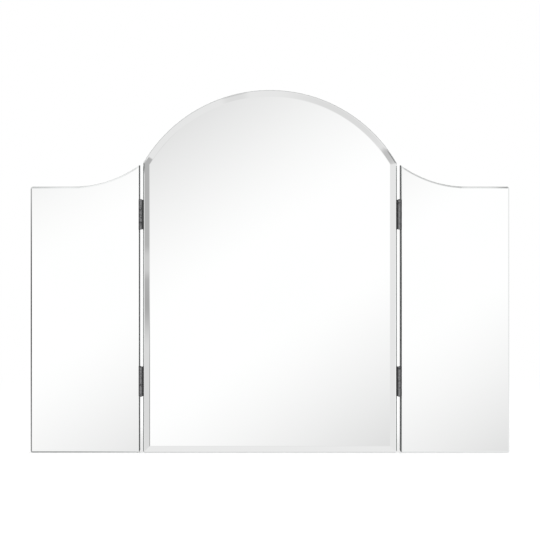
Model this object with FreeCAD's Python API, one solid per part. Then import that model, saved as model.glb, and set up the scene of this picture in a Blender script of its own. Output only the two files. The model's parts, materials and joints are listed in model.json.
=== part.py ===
import FreeCAD, Part
import math
import os

# A folding mirror of three panels: a tall arched centre with a bevelled edge, and two lower wings that
# swing forwards on butt hinges. Each glass is taped to a backing board, which carries the hinges.
# Millimetres. +X is to the viewer's right, +Y is towards the wall and +Z is up.
# The origin is on the back of the centre board, midway between the entry holes of the wall hangers.

Vector = FreeCAD.Vector

# Centre panel
CENTRE_W = 387.0  # width of the board
CENTRE_H = 553.0  # bottom edge to the top of the arch
ARCH_RISE = 111.5  # top of the arch above its shoulders

# Wings
WING_W = 166.0  # width of the board
WING_BELOW_SHOULDER = 3.0  # inner corner of a wing below the shoulder of the arch
WING_RISE = 33.0  # inner corner above the straight outer part of the top
WING_CURVE_R = 172.0  # hollow curve from the straight part up to the inner corner

# Layers, from the wall to the front
BOARD_T = 9.0
TAPE_T = 1.0
GLASS_T = 4.0

# Edges
REVEAL = 0.5  # board standing out round its glass
CORNER_R = 3.0  # rounded corners of the boards
BEVEL_W = 10.5  # bevel of the centre glass, across
BEVEL_DROP = 1.6  # bevel of the centre glass, in depth
ARRIS = 2.0  # narrow ground edge on the front of the wing glass
BOARD_EASE = 0.8  # chamfer round the back of the boards

# Hinges
PIN_D = 3.0
PIN_PROUD = 0.6  # end of a pin beyond its knuckles
PIN_ROUND = 0.5  # rounding of a pin's ends
LEAF_T = 1.2
LEAF_H = 45.0
LEAF_CORNER_R = 2.0
LEAF_BACK_INSET = 1.0  # back edge of a leaf in front of the board's back
KNUCKLES = 5  # the centre leaf has every other one, from the first
KNUCKLE_GAP = 0.2  # end play between knuckles
RUNNING_CLEAR = 0.05  # radial play of a pin in its knuckles
NOTCH_CLEAR = 0.4  # between a leaf and the other leaf's knuckles
AXIS_PROUD = 1.0  # pin's axis in front of the glass
HINGE_BOTTOM_INSET = 109.0  # bottom edge of the panels to the middle of a lower hinge
HINGE_TOP_INSET = 75.5  # inner corner of a wing to the middle of an upper hinge

# Hinge screws
HINGE_SCREW_D = 2.8
HINGE_SCREW_HEAD_D = 5.0
HINGE_SCREW_L = 14.0
HINGE_SCREWS = 3  # in each leaf
HINGE_SCREW_PITCH = 15.0

# Wall hangers
HANGER_SPACING = 240.0  # between the two entry holes
HANGER_BELOW_TOP = 150.0  # top of the arch to the entry holes
HANGER_W = 16.0
HANGER_H = 46.0
HANGER_T = 1.2
HANGER_CORNER_R = 6.0
HANGER_RAISE = 3.0  # middle of the plate above its entry hole
HANGER_SEAT_CLEAR = 0.2  # round the plate in its recess
ENTRY_D = 9.0  # hole that takes the head of a wall screw
SLOT_W = 4.6  # slot that its shank slides up
SLOT_RISE = 9.0  # entry hole to the end of the slot, centre to centre
HEAD_ROOM_D = 12.0  # pocket in the board for the screw's head
HEAD_ROOM_DEPTH = 5.0

# Hanger screws
HANGER_SCREW_D = 2.5
HANGER_SCREW_HEAD_D = 4.6
HANGER_SCREW_FROM_END = 5.5  # screw to the nearer end of its plate
HANGER_SCREW_SHORT = 1.5  # board left in front of a screw's tip

# Features that both kinds of screw share
SCREW_CLEAR = 0.05
SCREW_TIP = 2.0
CROSS_W = 0.7  # cross recess in a screw's head
CROSS_SPAN = 0.6  # length of the recess, as a share of the head
CROSS_DEPTH = 0.8

# Mirror tape and wall bumpers
TAPE_W = 20.0
TAPE_INSET = 30.0  # edges of a board to its tape
CENTRE_TAPES = 4
WING_TAPES = 2
BUMPER_D = 10.0
BUMPER_TIP_D = 8.0
BUMPER_T = 3.0
BUMPER_INSET = 25.0  # edges of a board to the middle of a bumper

# Room for a cutting shape to pass clear of what it cuts
OVERSHOOT = 5.0

# Heights
BOTTOM_Z = HANGER_BELOW_TOP - CENTRE_H
SHOULDER_Z = BOTTOM_Z + CENTRE_H - ARCH_RISE
WING_CORNER_Z = SHOULDER_Z - WING_BELOW_SHOULDER
WING_TOP_Z = WING_CORNER_Z - WING_RISE
HINGE_Z = {"upper": WING_CORNER_Z - HINGE_TOP_INSET, "lower": BOTTOM_Z + HINGE_BOTTOM_INSET}

# Arch of the centre panel, and hollow curve of a wing
ARCH_R = ((CENTRE_W / 2) ** 2 + ARCH_RISE**2) / (2 * ARCH_RISE)
ARCH_CENTRE_Z = BOTTOM_Z + CENTRE_H - ARCH_R
WING_CURVE_RUN = math.sqrt(2 * WING_CURVE_R * WING_RISE - WING_RISE**2)

# Depths
BOARD_FRONT_Y = -BOARD_T
GLASS_BACK_Y = BOARD_FRONT_Y - TAPE_T
FRONT_Y = GLASS_BACK_Y - GLASS_T

# Hinges: the barrel fills the gap between the boards
PIN_R = PIN_D / 2
KNUCKLE_R = PIN_R + RUNNING_CLEAR + LEAF_T
AXIS_X = CENTRE_W / 2 + KNUCKLE_R
AXIS_Y = FRONT_Y - AXIS_PROUD
WING_INNER_X = AXIS_X + KNUCKLE_R
WING_OUTER_X = WING_INNER_X + WING_W
HINGE_SCREW_Y = BOARD_FRONT_Y / 2

HANGER_X = {"left": -HANGER_SPACING / 2, "right": HANGER_SPACING / 2}

TOLERANCE = 1e-6


def place(x, z):
    """A point of an outline, which lies in the plane of the board's back."""
    return Vector(x, 0, z)


def slab(edges, y_front, y_back):
    """The closed outline made into a plate between two depths."""
    face = Part.Face(Part.Wire(edges))
    face.translate(Vector(0, y_front, 0))
    return face.extrude(Vector(0, y_back - y_front, 0))


def lines(points):
    """Straight edges from each point to the next."""
    return [Part.LineSegment(start, end).toShape() for start, end in zip(points, points[1:])]


def round_corners(plate, corners, radius):
    """Rounds the edges of a plate that run front to back through the given points of its outline."""
    edges = []
    for edge in plate.Edges:
        ends = [place(vertex.X, vertex.Z) for vertex in edge.Vertexes]
        if len(ends) == 2 and ends[0].isEqual(ends[1], TOLERANCE):
            if any(ends[0].isEqual(corner, TOLERANCE) for corner in corners):
                edges.append(edge)
    return plate.makeFillet(radius, edges)


def ease_edges(plate, y, size):
    """Chamfers every edge of a plate that lies at one depth."""
    edges = [edge for edge in plate.Edges if all(abs(v.Y - y) < TOLERANCE for v in edge.Vertexes)]
    return plate.makeChamfer(size, edges)


def centre_plate(inset, y_front, y_back):
    """The arched outline, drawn in by an inset."""
    half = CENTRE_W / 2 - inset
    bottom = BOTTOM_Z + inset
    radius = ARCH_R - inset
    shoulder = ARCH_CENTRE_Z + math.sqrt(radius**2 - half**2)
    sides = lines([place(-half, shoulder), place(-half, bottom), place(half, bottom), place(half, shoulder)])
    crown = place(0, ARCH_CENTRE_Z + radius)
    arch = Part.Arc(place(half, shoulder), crown, place(-half, shoulder)).toShape()
    plate = slab(sides + [arch], y_front, y_back)
    return round_corners(plate, [place(-half, bottom), place(half, bottom)], CORNER_R - inset)


def wing_plate(inset, y_front, y_back):
    """The outline of the right wing, drawn in by an inset."""
    inner = WING_INNER_X + inset
    outer = WING_OUTER_X - inset
    bottom = BOTTOM_Z + inset
    top = WING_TOP_Z - inset
    radius = WING_CURVE_R + inset
    curve_centre = place(WING_INNER_X + WING_CURVE_RUN, WING_TOP_Z + WING_CURVE_R)
    turn = math.asin((curve_centre.x - inner) / radius)
    corner = place(inner, curve_centre.z - radius * math.cos(turn))
    half_way = curve_centre - place(radius * math.sin(turn / 2), radius * math.cos(turn / 2))
    curve_end = place(curve_centre.x, top)
    sides = lines([corner, place(inner, bottom), place(outer, bottom), place(outer, top), curve_end])
    curve = Part.Arc(curve_end, half_way, corner).toShape()
    plate = slab(sides + [curve], y_front, y_back)
    corners = [place(inner, bottom), place(outer, bottom), place(outer, top)]
    return round_corners(plate, corners, CORNER_R - inset)


def centre_top(x):
    """Height of the centre board's edge above a place across its width."""
    return ARCH_CENTRE_Z + math.sqrt(ARCH_R**2 - x**2)


def wing_top(x):
    """Height of the right wing board's edge above a place across its width."""
    along = max(0.0, WING_INNER_X + WING_CURVE_RUN - x)
    return WING_TOP_Z + WING_CURVE_R - math.sqrt(WING_CURVE_R**2 - along**2)


def bevel_section(rim, across):
    """What a bevel takes off, as a section that rises across the glass towards a rim."""
    return [
        across * (rim - BEVEL_W) + Vector(0, FRONT_Y, 0),
        across * (rim + BEVEL_W) + Vector(0, FRONT_Y + 2 * BEVEL_DROP, 0),
        across * (rim + BEVEL_W) + Vector(0, FRONT_Y - OVERSHOOT, 0),
        across * (rim - BEVEL_W) + Vector(0, FRONT_Y - OVERSHOOT, 0),
    ]


def section_face(points):
    return Part.Face(Part.makePolygon(points + points[:1]))


def centre_glass():
    """Arched glass, ground to a bevel along its sides, its bottom and its arch."""
    glass = centre_plate(REVEAL, FRONT_Y, GLASS_BACK_Y)
    side_rim = CENTRE_W / 2 - REVEAL
    along_side = Vector(0, 0, CENTRE_H + 2 * OVERSHOOT)
    along_bottom = Vector(CENTRE_W + 2 * OVERSHOOT, 0, 0)
    cutters = []
    for sign in (-1, 1):
        section = section_face(bevel_section(side_rim, Vector(sign, 0, 0)))
        section.translate(Vector(0, 0, BOTTOM_Z - OVERSHOOT))
        cutters.append(section.extrude(along_side))
    section = section_face(bevel_section(-BOTTOM_Z - REVEAL, Vector(0, 0, -1)))
    section.translate(along_bottom * -0.5)
    cutters.append(section.extrude(along_bottom))
    section = section_face(bevel_section(ARCH_R - REVEAL, Vector(1, 0, 0)))
    section.translate(Vector(0, 0, ARCH_CENTRE_Z))
    cutters.append(section.revolve(Vector(0, 0, ARCH_CENTRE_Z), Vector(0, -1, 0), 180))
    return glass.cut(cutters)


def wing_glass():
    """Flat glass of the right wing, with only a narrow ground edge."""
    glass = wing_plate(REVEAL, FRONT_Y, GLASS_BACK_Y)
    return ease_edges(glass, FRONT_Y, ARRIS)


def tapes(count, left, right, top_at):
    """Upright strips of tape, evenly spread across a board and cut to its height."""
    first = left + TAPE_INSET
    last = right - TAPE_INSET - TAPE_W
    bottom = BOTTOM_Z + TAPE_INSET
    strips = []
    for index in range(count):
        x = first + (last - first) * index / (count - 1)
        top = min(top_at(x), top_at(x + TAPE_W)) - TAPE_INSET
        strips.append(Part.makeBox(TAPE_W, TAPE_T, top - bottom, Vector(x, GLASS_BACK_Y, bottom)))
    return Part.makeCompound(strips)


def bumper(x, z):
    """A soft button stuck to the back of a board."""
    return Part.makeCone(BUMPER_D / 2, BUMPER_TIP_D / 2, BUMPER_T, place(x, z), Vector(0, 1, 0))


def screw_body(shank_r, head_r, length, clear=0.0):
    """A countersunk screw along +Z from the face of its head, or the hole for it with some clearance."""
    cone = head_r - shank_r
    above = OVERSHOOT if clear else 0.0
    profile = [
        Vector(0, 0, -above),
        Vector(head_r + clear, 0, -above),
        Vector(head_r + clear, 0, 0),
        Vector(shank_r + clear, 0, cone),
        Vector(shank_r + clear, 0, length - SCREW_TIP),
        Vector(0, 0, length + clear),
    ]
    points = [point for index, point in enumerate(profile) if index == 0 or point != profile[index - 1]]
    return section_face(points).revolve(Vector(0, 0, 0), Vector(0, 0, 1), 360)


def aim(shape, at, direction):
    """Turns a shape's +Z to a direction and sets it at a point."""
    shape.Placement = FreeCAD.Placement(at, FreeCAD.Rotation(Vector(0, 0, 1), direction))
    return shape


def screw(shank_d, head_d, length, at, direction):
    """A countersunk wood screw with a cross recess."""
    body = screw_body(shank_d / 2, head_d / 2, length)
    span = head_d * CROSS_SPAN
    for size_x, size_y in ((span, CROSS_W), (CROSS_W, span)):
        body = body.cut(Part.makeBox(size_x, size_y, CROSS_DEPTH, Vector(-size_x / 2, -size_y / 2, 0)))
    return aim(body, at, direction)


def screw_hole(shank_d, head_d, length, at, direction):
    return aim(screw_body(shank_d / 2, head_d / 2, length, SCREW_CLEAR), at, direction)


def hinge_screw_places(middle_z, direction):
    """Where the screws of a leaf enter it, on its face towards the gap."""
    x = AXIS_X + direction * (KNUCKLE_R - LEAF_T)
    first = middle_z - HINGE_SCREW_PITCH * (HINGE_SCREWS - 1) / 2
    return [Vector(x, HINGE_SCREW_Y, first + HINGE_SCREW_PITCH * index) for index in range(HINGE_SCREWS)]


def hinge_screws(direction, make):
    """Screws, or their holes, of both right-hand hinges: direction -1 for the centre and 1 for the wing."""
    return [
        make(HINGE_SCREW_D, HINGE_SCREW_HEAD_D, HINGE_SCREW_L, at, Vector(direction, 0, 0))
        for middle_z in HINGE_Z.values()
        for at in hinge_screw_places(middle_z, direction)
    ]


def barrel(radius, low, high):
    return Part.makeCylinder(radius, high - low, Vector(AXIS_X, AXIS_Y, low))


def hinge_leaf(middle_z, direction):
    """One leaf of a right-hand hinge, flat on its board's edge, with its share of the knuckles."""
    low = middle_z - LEAF_H / 2
    pitch = LEAF_H / KNUCKLES
    depth = -LEAF_BACK_INSET - AXIS_Y
    inner_x = AXIS_X + direction * (KNUCKLE_R - LEAF_T)
    outer_x = AXIS_X + direction * KNUCKLE_R
    leaf = Part.makeBox(LEAF_T, depth, LEAF_H, Vector(min(inner_x, outer_x), AXIS_Y, low))
    back = [e for e in leaf.Edges if all(abs(v.Y + LEAF_BACK_INSET) < TOLERANCE for v in e.Vertexes)]
    ends = [edge for edge in back if edge.BoundBox.XLength > LEAF_T / 2]
    leaf = leaf.makeFillet(LEAF_CORNER_R, ends)
    notch_depth = 2 * KNUCKLE_R + NOTCH_CLEAR
    for index in range(KNUCKLES):
        span = (low + index * pitch, low + (index + 1) * pitch)
        if (index % 2 == 0) == (direction < 0):
            leaf = leaf.fuse(barrel(KNUCKLE_R, span[0] + KNUCKLE_GAP / 2, span[1] - KNUCKLE_GAP / 2))
        else:
            corner = Vector(AXIS_X - KNUCKLE_R, AXIS_Y - KNUCKLE_R, span[0] - KNUCKLE_GAP / 2)
            leaf = leaf.cut(Part.makeBox(2 * KNUCKLE_R, notch_depth, pitch + KNUCKLE_GAP, corner))
    leaf = leaf.cut(barrel(PIN_R + RUNNING_CLEAR, low - OVERSHOOT, low + LEAF_H + OVERSHOOT))
    return leaf.cut(hinge_screws(direction, screw_hole)).removeSplitter()


def hinge_pin(middle_z):
    """A pin with rounded ends that just show above and below the knuckles."""
    reach = LEAF_H / 2 + PIN_PROUD
    pin = barrel(PIN_R, middle_z - reach, middle_z + reach)
    rims = [edge for edge in pin.Edges if edge.BoundBox.ZLength < TOLERANCE]
    return pin.makeFillet(PIN_ROUND, rims)


def upright_slot(radius, rise, depth, x):
    """A round-ended slot that runs up from a hanger's entry hole, cut in from the back."""
    slot = Part.makeBox(2 * radius, depth, rise, Vector(x - radius, -depth, 0))
    for z in (0, rise):
        slot = slot.fuse(Part.makeCylinder(radius, depth, Vector(x, -depth, z), Vector(0, 1, 0)))
    return slot.removeSplitter()


def hanger_plate(x, clear=0.0):
    """The round-cornered blank of a hanger, or its recess with some clearance."""
    width = HANGER_W + 2 * clear
    height = HANGER_H + 2 * clear
    corner = Vector(x - width / 2, -HANGER_T, HANGER_RAISE - height / 2)
    blank = Part.makeBox(width, HANGER_T, height, corner)
    upright = [edge for edge in blank.Edges if edge.BoundBox.YLength > HANGER_T / 2]
    return blank.makeFillet(HANGER_CORNER_R + clear, upright)


def hanger_screws(x, make):
    """Screws, or their holes, at the two ends of a hanger."""
    reach = HANGER_H / 2 - HANGER_SCREW_FROM_END
    length = BOARD_T - HANGER_SCREW_SHORT
    return [
        make(HANGER_SCREW_D, HANGER_SCREW_HEAD_D, length, place(x, HANGER_RAISE + z), Vector(0, -1, 0))
        for z in (-reach, reach)
    ]


def hanger(x):
    """A flat plate with a keyhole, let into the back of the board."""
    entry = Part.makeCylinder(ENTRY_D / 2, HANGER_T, Vector(x, -HANGER_T, 0), Vector(0, 1, 0))
    slot = upright_slot(SLOT_W / 2, SLOT_RISE, HANGER_T, x)
    return hanger_plate(x).cut([entry, slot] + hanger_screws(x, screw_hole))


def mirrored(shape):
    """The left-hand twin of a right-hand piece."""
    return shape.mirror(Vector(0, 0, 0), Vector(1, 0, 0))


def centre_board():
    """Backing board of the centre, with its hinge holes and the seats of the wall hangers."""
    board = ease_edges(centre_plate(0, BOARD_FRONT_Y, 0), 0, BOARD_EASE)
    holes = hinge_screws(-1, screw_hole)
    holes += [mirrored(hole) for hole in holes]
    for x in HANGER_X.values():
        holes.append(hanger_plate(x, HANGER_SEAT_CLEAR))
        holes.append(upright_slot(HEAD_ROOM_D / 2, SLOT_RISE, HANGER_T + HEAD_ROOM_DEPTH, x))
        holes += hanger_screws(x, screw_hole)
    return board.cut(holes)


def wing_board():
    """Backing board of the right wing."""
    board = ease_edges(wing_plate(0, BOARD_FRONT_Y, 0), 0, BOARD_EASE)
    return board.cut(hinge_screws(1, screw_hole))


def centre_pieces():
    """Everything that is fixed to the wall, apart from the hinges."""
    low = BOTTOM_Z + BUMPER_INSET
    high = SHOULDER_Z - BUMPER_INSET
    side = CENTRE_W / 2 - BUMPER_INSET
    bumpers = [bumper(sign * side, z) for sign in (-1, 1) for z in (low, high)]
    screws = [piece for x in HANGER_X.values() for piece in hanger_screws(x, screw)]
    pieces = {
        "centre_mirror_glass": centre_glass(),
        "centre_mirror_tape": tapes(CENTRE_TAPES, -CENTRE_W / 2, CENTRE_W / 2, centre_top),
        "centre_backing_board": centre_board(),
        "centre_wall_bumpers": Part.makeCompound(bumpers),
        "wall_hanger_screws": Part.makeCompound(screws),
    }
    for side_name, x in HANGER_X.items():
        pieces[side_name + "_wall_hanger"] = hanger(x)
    return pieces


def right_side_pieces():
    """The right wing and its hinges, named without their side."""
    bumper_x = WING_OUTER_X - BUMPER_INSET
    heights = (BOTTOM_Z + BUMPER_INSET, WING_TOP_Z - BUMPER_INSET)
    pieces = {
        "wing_mirror_glass": wing_glass(),
        "wing_mirror_tape": tapes(WING_TAPES, WING_INNER_X, WING_OUTER_X, wing_top),
        "wing_backing_board": wing_board(),
        "wing_wall_bumpers": Part.makeCompound([bumper(bumper_x, z) for z in heights]),
        "hinge_centre_screws": Part.makeCompound(hinge_screws(-1, screw)),
        "hinge_wing_screws": Part.makeCompound(hinge_screws(1, screw)),
    }
    for level, middle_z in HINGE_Z.items():
        pieces[level + "_hinge_centre_leaf"] = hinge_leaf(middle_z, -1)
        pieces[level + "_hinge_wing_leaf"] = hinge_leaf(middle_z, 1)
        pieces[level + "_hinge_pin"] = hinge_pin(middle_z)
    return pieces


def all_pieces():
    pieces = centre_pieces()
    for name, shape in right_side_pieces().items():
        pieces["right_" + name] = shape
        pieces["left_" + name] = mirrored(shape)
    return pieces


os.makedirs("parts", exist_ok=True)
for node, shape in all_pieces().items():
    shape.exportStep("parts/" + node + ".step")
    print(node, len(shape.Solids), "solid(s)", round(shape.Volume), "mm3", "valid" if shape.isValid() else "BAD")
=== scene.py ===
"""Dresses a folding three-panel mirror: bevelled glass, rolled hinges, boards, wall hardware and a studio.

Metres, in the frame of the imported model: +X to the viewer's right, +Y towards the wall, +Z up.
"""

import json
import math

import bmesh
import bpy
from bpy.props import FloatProperty, FloatVectorProperty, IntProperty, PointerProperty
from mathutils import Matrix, Vector


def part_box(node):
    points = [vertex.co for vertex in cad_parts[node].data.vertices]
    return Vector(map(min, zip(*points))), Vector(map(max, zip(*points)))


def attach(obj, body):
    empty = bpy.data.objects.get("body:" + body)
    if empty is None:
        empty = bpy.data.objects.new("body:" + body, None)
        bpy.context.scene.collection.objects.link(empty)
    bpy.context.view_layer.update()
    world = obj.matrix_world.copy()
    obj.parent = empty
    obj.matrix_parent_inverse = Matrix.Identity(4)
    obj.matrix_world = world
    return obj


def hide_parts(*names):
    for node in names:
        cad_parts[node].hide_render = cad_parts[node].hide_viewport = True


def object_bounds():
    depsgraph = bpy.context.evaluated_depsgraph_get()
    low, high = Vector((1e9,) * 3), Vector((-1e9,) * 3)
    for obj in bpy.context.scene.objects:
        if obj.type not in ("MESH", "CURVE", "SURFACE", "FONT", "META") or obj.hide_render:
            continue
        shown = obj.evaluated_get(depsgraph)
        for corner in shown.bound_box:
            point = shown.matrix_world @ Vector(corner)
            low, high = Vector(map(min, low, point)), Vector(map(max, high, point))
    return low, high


bl_info = {
    "name": "Folding Three-Panel Mirror",
    "version": (1, 0, 0),
    "blender": (4, 5, 0),
    "location": "3D View > Sidebar > Mirror",
    "description": "Models the glass, hinges and finishes of a folding mirror and its studio",
    "category": "Object",
}

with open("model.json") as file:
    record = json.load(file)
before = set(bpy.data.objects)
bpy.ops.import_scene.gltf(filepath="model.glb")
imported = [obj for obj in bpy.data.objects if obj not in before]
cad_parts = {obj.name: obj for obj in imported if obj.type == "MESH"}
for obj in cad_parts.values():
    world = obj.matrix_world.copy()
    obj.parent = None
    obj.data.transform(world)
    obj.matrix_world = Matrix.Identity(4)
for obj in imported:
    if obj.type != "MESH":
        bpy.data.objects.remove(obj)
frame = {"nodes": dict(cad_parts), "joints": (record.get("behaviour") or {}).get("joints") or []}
CAD_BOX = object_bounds()

SIDES = {"left": -1, "right": 1}
LEVELS = ("upper", "lower")
# Panels, each named as the body that carries it
PANELS = ("centre", "left_wing", "right_wing")
FRONT = Vector((0, -1, 0))
UP = Vector((0, 0, 1))
QUARTER_TURN = math.pi / 2
WHITE = (1.0, 1.0, 1.0, 1.0)

# Material slots of a glass piece
SILVER, SEAM, GROUND, PAINT = range(4)
# Sockets of a Mix node that take two colours and give the one between them
FIRST_COLOUR, SECOND_COLOUR, BLENDED_COLOUR = 6, 7, 2

# A face counts as front or back when its normal is this close to the Y axis
FLAT = 0.9
# A front seam leans towards the front by at least this much
SLANT = 0.4
# Flats of a glass that meet at more than this keep a hard line between them
HARD_ANGLE = math.radians(3)
# The same for rolled and turned pieces
ROLLED_ANGLE = math.radians(30)
# Edges of a hinge leaf sharper than this are eased
STAMPED_ANGLE = math.radians(60)
# Slack when a vertex is looked up by its place
NEAR = 1e-6
# Decimals of a metre to which two places are one
SAME_PLACE = 4

# Finishes. A scale or a stretch counts features to the metre. A pair is where a pattern starts to show and
# where it shows in full, and a shade is what a pattern leaves of a colour. A roughness is the least one and
# what each pattern adds to it, and a relief is the strength of a bump and its height.
# Layers of detail in a noise, and how strongly each finer layer shows beside the one before it
SOFT_DETAIL = 2.0
FINE_DETAIL = 3.0
FINEST_DETAIL = 4.0
EVEN_LAYERS = 0.5
GRAINY_LAYERS = 0.6
# Silver, with strokes of a wiping cloth and faint clouds
WIPE_STRETCH = (9, 9, 2.5)
WIPE_TURN = (0, math.radians(28), 0)
WIPE_SHOWS = (0.45, 0.75)
CLOUD_SCALE = 6.0
SILVER_SHADE = 0.985
SILVER_ROUGHNESS = 0.004
# Polished seams, with the marks of the wheel
SEAM_STRETCH = (260, 3000, 260)
SEAM_SHADE = 0.94
SEAM_ROUGHNESS = (0.03, 0.08)
# Ground rims, with grit and grinding marks
GRIT_SCALE = 2600.0
GRIND_STRETCH = (300, 4000, 300)
GROUND_SHADE = 0.7
GROUND_ROUGHNESS = (0.22, 0.18, 0.1)
GROUND_RELIEF = (0.15, 0.0001)
# Paint on the back of the glass
ROLLER_SCALE = 700.0
PAINT_SHADE = 0.85
PAINT_ROUGHNESS = (0.45, 0.2)
PAINT_RELIEF = (0.25, 0.0002)
# Lacquer of the boards, with scuffs, and rubbed edges next to the back, which lies at zero depth
PEEL_SCALE = 900.0
SHEEN_SCALE = 9.0
SCUFF_STRETCH = (18, 18, 240)
SCUFF_TURN = (0, math.radians(34), 0)
SCUFF_SHOWS = (0.66, 0.78)
SCUFF_PATCHES = (0.45, 0.7)
SCUFF_SHARE = 0.5
EDGE_DEPTH = (-0.0014, -0.0005)
BACK_DEPTH = (-0.00005, -0.0002)
EDGE_PATCHES = (0.35, 0.7)
EDGE_SHARE = 0.7
BOARD_SHADE = 0.7
BOARD_ROUGHNESS = (0.34, 0.16, 0.15)
BOARD_SPECULAR = 0.35
BOARD_RELIEF = (0.1, 0.0004)
# Gunmetal, worn paler in patches, and paler over the crowns of the knuckles by depth behind the frontmost
# line, which is wear and a painted highlight
GRAIN_SCALE = 1500.0
WEAR_SCALE = 260.0
DRAWN_STRETCH = (2500, 2500, 120)
CROWN_HIGHLIGHT_DEPTH = (0.00095, 0.00005)
CROWN_WEAR_AND_HIGHLIGHT = (0.3, 0.5)
PATCH_WEAR = (0.55, 0.8)
PATCH_SHARE = 0.3
GUNMETAL_ROUGHNESS = (0.12, 0.16, 0.08, -0.1)
GUNMETAL_RELIEF = (0.1, 0.0001)
# Zinc, with rolling lines and a bloom
ROLLED_STRETCH = (4000, 4000, 60)
BLOOM_SCALE = 180.0
ZINC_SHADE = 0.72
ZINC_ROUGHNESS = (0.14, 0.2, 0.16)
ZINC_RELIEF = (0.12, 0.0001)
# Foam of the mirror tape
PORE_SCALE = 3200.0
FOAM_SHADE = 0.8
FOAM_ROUGHNESS = (0.8, 0.1)
FOAM_RELIEF = (0.5, 0.0002)
# Rubber of the bumpers, with pale dust
DUST_SCALE = 1600.0
DUST_SHOWS = (0.4, 0.8)
DUST_SHADE = 1.25
RUBBER_ROUGHNESS = (0.5, 0.2)
RUBBER_RELIEF = (0.15, 0.0002)
# Paper of the floor
FIBRE_SCALE = 60.0
PAPER_SHADE = 0.985

# The studio that the mirror sees, placed by slopes across and up from straight out of its middle.
# A pair of places is where a change starts and where it is complete.
# Three diffusers, one for each panel, with a light band slanting across each
DIFFUSER_EDGE = (0.122, 0.133)
DIFFUSER_MIDDLE = 0.1875
DIFFUSER_WHITE = 1.065
DIFFUSER_LEAST = 0.5
DIFFUSER_SIDES = (0.252, 0.244)
DIFFUSER_ENDS = (0.27, 0.21)
BAND_SLOPE = 0.65
BAND_LIFT = 0.019
BAND_DROP_RIGHT = 0.03
BAND_HALF_WIDTH = 0.05
BAND_POWER = 1.45
BAND_FALL = 3.0
# Walls with slanting bands further out, and a floor that lightens them from below
WALL_TONE = 0.84
FAR_OUT = (0.62, 0.85)
STRIPE_PITCH = 9.0
STRIPE_DEPTH = 0.17
STRIPE_DIM = 0.08
FLOOR_GLOW = (0.3, 1.2)
FLOOR_LIFT = 0.12
# A tall dark flag on the left, with a crisp slanting top and a slit that lets some light through
FLAG_LEAN = 0.7
FLAG_TOP = (0.024, 0.014)
FLAG_FOOT = (-0.090, -0.035)
FLAG_NEAR_SIDE = (0.28, 0.45)
FLAG_FAR_SIDE = (0.75, 0.62)
FLAG_DARK = 0.37
FLAG_SLIT = 0.008
FLAG_SLIT_REACH = (0.022, 0.006)
FLAG_SLIT_SHARE = 0.45
# Soft patches, by the place on the centre glass that sees each, where the land and the heel are the gentler
# strips of the bevel: middle, reach and how much light a patch takes away, or adds where that is negative
PATCHES = {
    "bevel at the right shoulder": ((0.452, 0.343), (0.045, 0.050), 0.27),
    "land at the right shoulder": ((0.309, 0.235), (0.030, 0.035), 0.60),
    "bevel left of the top": ((-0.134, 0.570), (0.060, 0.060), 0.08),
    "land left of the top": ((-0.090, 0.394), (0.040, 0.050), 0.20),
    "heel low on the left": ((-0.262, -0.150), (0.035, 0.160), 0.62),
    "bevel low on the left": ((-0.520, -0.130), (0.200, 0.130), 0.10),
    "bevel right of the top": ((0.280, 0.490), (0.280, 0.220), 0.09),
    "land low on the right": ((0.351, -0.090), (0.050, 0.160), -0.10),
    "land under the left shoulder": ((-0.348, 0.115), (0.035, 0.014), 0.45),
    "land over the left shoulder": ((-0.322, 0.208), (0.030, 0.030), 0.35),
}
# The ends of the studio, which the polished seams see, placed by directions: dark on the left, and dim
# overhead and in the top corners. The curve of the left wing sees light, and the right one's a dim place.
END_TONE = 0.90
LEFT_END_DARK = 0.50
LEFT_END_SIDE = (0.05, 0.24)
LEFT_END_TOP = (0.20, -0.01)
LEFT_END_DEPTH = (-0.30, -0.14)
LEFT_END_LOWER = (-0.30, -0.04)
LEFT_END_LOWER_DARK = 0.36
CEILING_DIM = 0.26
CEILING_HEIGHT = (0.2, 0.7)
CEILING_DEPTH = (0.145, 0.17)
LEFT_CORNER = (0.205, 0.25)
LEFT_CORNER_DIM = 0.42
RIGHT_CORNER = (0.228, 0.242)
RIGHT_CORNER_DIM = 0.62
CORNER_HEIGHT = (0.60, 0.95)
CORNER_DEPTH = (0.094, 0.084)
CURVE_LIFT = 0.09
CURVE_DIM_RIGHT = 0.30
CURVE_HEIGHT = (0.4, 0.7)
CURVE_START = (0.082, 0.10)
CURVE_END = (0.164, 0.156)
# Where the ends begin beside what lies ahead, and where the wall behind the mirror begins
ENDS_FROM = (-0.5, -0.2)
BEHIND_FROM = (0.5, 0.9)
# Least depth of a direction, so that slopes stay finite
LEAST_DEPTH = 0.04

# Soft boxes: name, place from the middle of the mirror, side and power
LAMPS = (
    ("key", (-1.3, -1.7, 1.5), 1.4, 60.0),
    ("fill", (1.6, -1.2, 0.7), 1.4, 25.0),
    ("back", (1.2, 1.8, 1.3), 1.6, 60.0),
)


def length(name, description, default):
    limits = {"min": 0, "unit": "LENGTH", "precision": 5}
    return FloatProperty(name=name, description=description, default=default, **limits)


def share(name, description, default):
    limits = {"min": 0, "max": 1, "subtype": "FACTOR"}
    return FloatProperty(name=name, description=description, default=default, **limits)


def colour(name, description, default):
    limits = {"min": 0, "max": 1, "subtype": "COLOR"}
    return FloatVectorProperty(name=name, description=description, default=default, **limits)


def count(name, description, default):
    return IntProperty(name=name, description=description, default=default, min=1)


def amount(name, description, default):
    return FloatProperty(name=name, description=description, default=default, min=0)


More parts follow.
